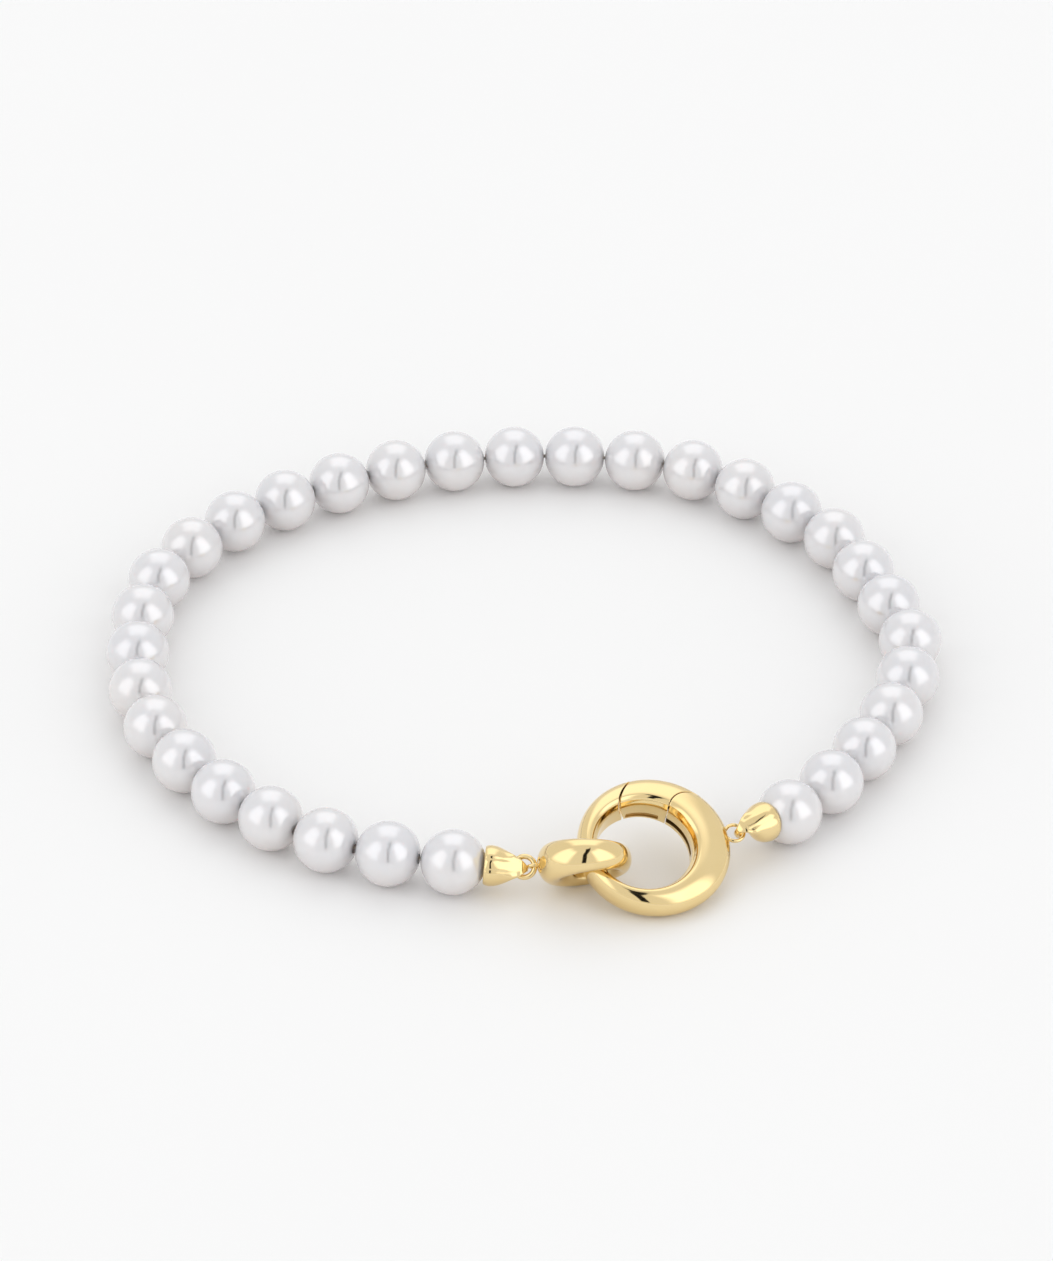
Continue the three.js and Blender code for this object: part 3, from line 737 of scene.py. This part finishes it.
ring_link = link_piece()
eye_centre = Vector((LINK_EYE_X, 0, 0))
link_eye = torus("link_eye", LINK_EYE_RADIUS, LINK_EYE_WIRE, eye_centre, link_place, GOLD)
cut_with(ring_link, link_eye, "UNION")
stand_in(ring_link, STRAND, "ring_link")

jump_along = EYE_HOLD - HOOK_HOLD
jump_across = tilted_up(jump_along, -JUMP_RING_TILT)
jump_centre = (HOOK_HOLD + EYE_HOLD) / 2 + jump_along.normalized() * JUMP_RING_FORWARD
jump_place = frame_at(jump_centre, jump_along, jump_along.cross(jump_across))
jump_ring = torus("jump_ring_wire", JUMP_RING_RADIUS, JUMP_RING_WIRE, Vector(), jump_place, GOLD,
                  steps=96, sides=32)
stand_in(jump_ring, STRAND, "jump_ring_left")


# End caps

# The bell: distance from the rim, half width, then how far its front, its edges and its back
# stand forward (front and edges) or back (back) of the middle line
CAP_STATIONS = [
    (0.0, 1.42, 1.42, 0.0, 1.42), (0.05, 1.47, 1.47, 0.0, 1.47), (0.2, 1.53, 1.53, 0.0, 1.53),
    (0.45, 1.57, 1.56, 0.0, 1.55), (0.8, 1.53, 1.5, 0.0, 1.48), (1.1, 1.45, 1.41, 0.0, 1.37),
    (1.4, 1.33, 1.29, 0.02, 1.18), (1.65, 1.22, 1.18, 0.09, 0.88), (1.83, 1.13, 1.1, 0.2, 0.5),
    (1.96, 1.06, 1.04, 0.34, 0.05), (2.06, 1.01, 1.0, 0.48, -0.38), (2.16, 0.96, 0.96, 0.58, -0.6),
    (2.3, 0.89, 0.91, 0.57, -0.6), (2.44, 0.82, 0.86, 0.54, -0.56), (2.57, 0.76, 0.81, 0.52, -0.53),
]
TONGUE_START = CAP_STATIONS[-1][0]
FLAT_START = 1.4
FLAT_SPAN = 0.8
FLAT_POWERS = (0.75, 0.6)
VALLEY_AT = 0.47
VALLEY_WIDTH = 0.15
VALLEY_DEPTH = 0.032


def tongue_stations():
    """The tongue's curl and returning tip: middle of the sheet, outward angle and half width."""
    curl = HOOK_EYE_RADIUS + TONGUE_THICKNESS / 2
    root, tip = TONGUE_WIDTHS
    made = []
    arc_steps = 18
    for i in range(1, arc_steps + 1):
        turn = mix(-90.0, 90.0, i / arc_steps)
        p = polar(curl, turn)
        width = mix(root, tip, eased((turn + 100) / 90))
        made.append((TONGUE_START + p.x, p.y, turn, width))
    for t in (0.3, 0.6, 0.85, 1.0):
        x = TONGUE_START - 0.47 * t
        made.append((x, curl + 0.05 * t, 90.0, tip * math.sqrt(1 - 0.8 * t**4)))
    return made


def cap_piece(name, node, pearl, hold, lean, shift):
    """A bell with a cupped seat, drawn out at the front into a tongue that curls back as a hook."""
    along = (hold - pearl).normalized()
    place = frame_at(pearl + along * shift, along, lean)
    angles = [2 * math.pi * j / CAP_SIDES for j in range(CAP_SIDES)]
    turns = [(math.sin(angle), math.cos(angle)) for angle in angles]
    seat_steps = 8
    deep, narrow = SEAT_RADIUS + SOCKET_DEPTH, SOCKET_END_RADIUS
    points = [[place @ Vector((deep, narrow * s, narrow * c)) for s, c in turns]]
    for i in range(seat_steps + 1):
        radius = mix(SOCKET_RADIUS, SEAT_RIM, i / seat_steps)
        x = math.sqrt(SEAT_RADIUS**2 - radius**2)
        points.append([place @ Vector((x, radius * s, radius * c)) for s, c in turns])
    for x, half_width, front, edge, back in CAP_STATIONS:
        ring = []
        flat = eased((x - FLAT_START) / FLAT_SPAN)
        for s, c in turns:
            z = half_width * math.copysign(abs(c)**mix(1.0, FLAT_POWERS[0], flat), c)
            share = abs(s)**mix(1.0, FLAT_POWERS[1], flat)
            if s < 0:
                valley = math.exp(-((abs(z) - VALLEY_AT) / VALLEY_WIDTH)**2)
                y = VALLEY_DEPTH * valley * eased(x / 0.12) - edge - (front - edge) * share
            else:
                y = -edge + (edge + back) * share
            ring.append(place @ Vector((CAP_RIM_X + x, y, z)))
        points.append(ring)
    for x, y, turn, half_width in tongue_stations():
        outward = polar(1.0, turn)
        ring = []
        for s, c in turns:
            z = half_width * math.copysign(abs(c)**FLAT_POWERS[0], c)
            lift = -math.copysign(abs(s)**FLAT_POWERS[1], s) * TONGUE_THICKNESS / 2
            ring.append(place @ (Vector((CAP_RIM_X + x, y, z)) + outward * lift))
        points.append(ring)
    piece = finish_mesh(name, capped_rows(points), GOLD, smooth_below=50.0)
    stand_in(piece, STRAND, node)


cap_piece("end_cap_left_bell", "end_cap_left", pearl_centres[0], HOOK_HOLD, jump_across,
          LEFT_CAP_SHIFT)
cap_piece("end_cap_right_bell", "end_cap_right", pearl_centres[-1], LOOP_HOLD,
          clasp_along.cross(clasp_lean), 0.0)

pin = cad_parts["clasp_hinge_pin"]
pin.data.materials.clear()
pin.data.materials.append(GOLD)


# Floor, light and camera

def floor_piece():
    bm = bmesh.new()
    span, level = 1500.0, -0.02
    corners = [(-span, -span), (span, -span), (span, span), (-span, span)]
    bm.faces.new([bm.verts.new((x, y, level)) for x, y in corners])
    floor = finish_mesh("floor", bm, FLOOR)


floor_piece()


def math_node(tree, operation, first, second=None, third=None, clamp=False):
    node = tree.nodes.new("ShaderNodeMath")
    node.operation = operation
    node.use_clamp = clamp
    for socket, value in zip(node.inputs, (first, second, third)):
        if value is None:
            continue
        if isinstance(value, (int, float)):
            socket.default_value = value
        else:
            tree.links.new(value, socket)
    return node.outputs[0]


def step_node(tree, value, low, high):
    """0 below `low`, 1 above `high`, smooth between them. Swapped ends turn it round."""
    node = tree.nodes.new("ShaderNodeMapRange")
    node.interpolation_type = "SMOOTHSTEP"
    tree.links.new(value, node.inputs["Value"])
    node.inputs["From Min"].default_value = min(low, high)
    node.inputs["From Max"].default_value = max(low, high)
    node.inputs["To Min"].default_value = 0.0 if low < high else 1.0
    node.inputs["To Max"].default_value = 1.0 if low < high else 0.0
    return node.outputs["Result"]


def studio_light():
    """A pale room with a big soft light on either side and a dark gap between them at the front."""
    world = bpy.data.worlds.new("studio")
    bpy.context.scene.world = world
    world.use_nodes = True
    tree = world.node_tree
    background = tree.nodes["Background"]
    place = tree.nodes.new("ShaderNodeTexCoord")
    split = tree.nodes.new("ShaderNodeSeparateXYZ")
    tree.links.new(place.outputs["Generated"], split.inputs[0])
    x, y, z = split.outputs

    to_degrees = 180.0 / math.pi
    forward = math_node(tree, "MULTIPLY", y, -1.0)
    sideways = math_node(tree, "ARCTAN2", x, forward)
    sideways = math_node(tree, "MULTIPLY", sideways, to_degrees)
    height = math_node(tree, "MULTIPLY", math_node(tree, "ARCSINE", z), to_degrees)

    def box_light(side_range, height_range, strength):
        """A soft rectangle of light, by its compass range and its height range in degrees."""
        parts = []
        for value, (first, last) in ((sideways, side_range), (height, height_range)):
            parts.append(step_node(tree, value, first - LIGHT_EDGE, first + LIGHT_EDGE))
            parts.append(step_node(tree, value, last + LIGHT_EDGE, last - LIGHT_EDGE))
        made = parts[0]
        for part in parts[1:]:
            made = math_node(tree, "MULTIPLY", made, part)
        return math_node(tree, "MULTIPLY", made, strength)

    right = box_light(*RIGHT_LIGHT)
    left = box_light(*LEFT_LIGHT)
    back = step_node(tree, y, 0.1, 0.35)
    back = math_node(tree, "MULTIPLY", back, step_node(tree, height, 15.0, 35.0))
    beside = math_node(tree, "ABSOLUTE", x)
    back = math_node(tree, "MULTIPLY", back, step_node(tree, beside, 0.5, 0.28))
    back = math_node(tree, "MULTIPLY", back, BACK_LIGHT)
    light = math_node(tree, "ADD", math_node(tree, "ADD", right, left), back)
    light = math_node(tree, "ADD", light, ROOM_LIGHT)
    below, above = GAP_MIDDLE
    middle = math_node(tree, "MULTIPLY_ADD", step_node(tree, z, 0.75, 0.95), above - below, below)
    offset = math_node(tree, "ABSOLUTE", math_node(tree, "SUBTRACT", x, middle))
    open_part = step_node(tree, offset, *GAP_HALF_WIDTH)
    behind = step_node(tree, y, -0.1, 0.0)
    low = step_node(tree, height, *reversed(GAP_FOOT))
    high = step_node(tree, height, *GAP_HEAD)
    for part in (behind, low, high):
        open_part = math_node(tree, "MAXIMUM", open_part, part)
    share = math_node(tree, "MULTIPLY_ADD", open_part, 1.0 - GAP_LIGHT, GAP_LIGHT)
    light = math_node(tree, "MULTIPLY", light, share)
    tree.links.new(light, background.inputs["Strength"])
    background.inputs["Color"].default_value = (1.0, 1.0, 1.0, 1.0)


studio_light()


def make_camera():
    data = bpy.data.cameras.new("camera")
    camera = bpy.data.objects.new("camera", data)
    bpy.context.scene.collection.objects.link(camera)
    camera.location = Vector(CAMERA_PLACE) * MM
    camera.rotation_euler = (math.radians(90.0 - CAMERA_DOWN), 0.0, math.radians(CAMERA_TURN))
    data.sensor_width = 36.0
    data.lens = data.sensor_width * FOCAL_PX / FRAME_HEIGHT_PX
    data.clip_start = 0.01
    data.clip_end = 20.0
    bpy.context.scene.camera = camera


make_camera()
bpy.context.scene.view_settings.view_transform = "Standard"
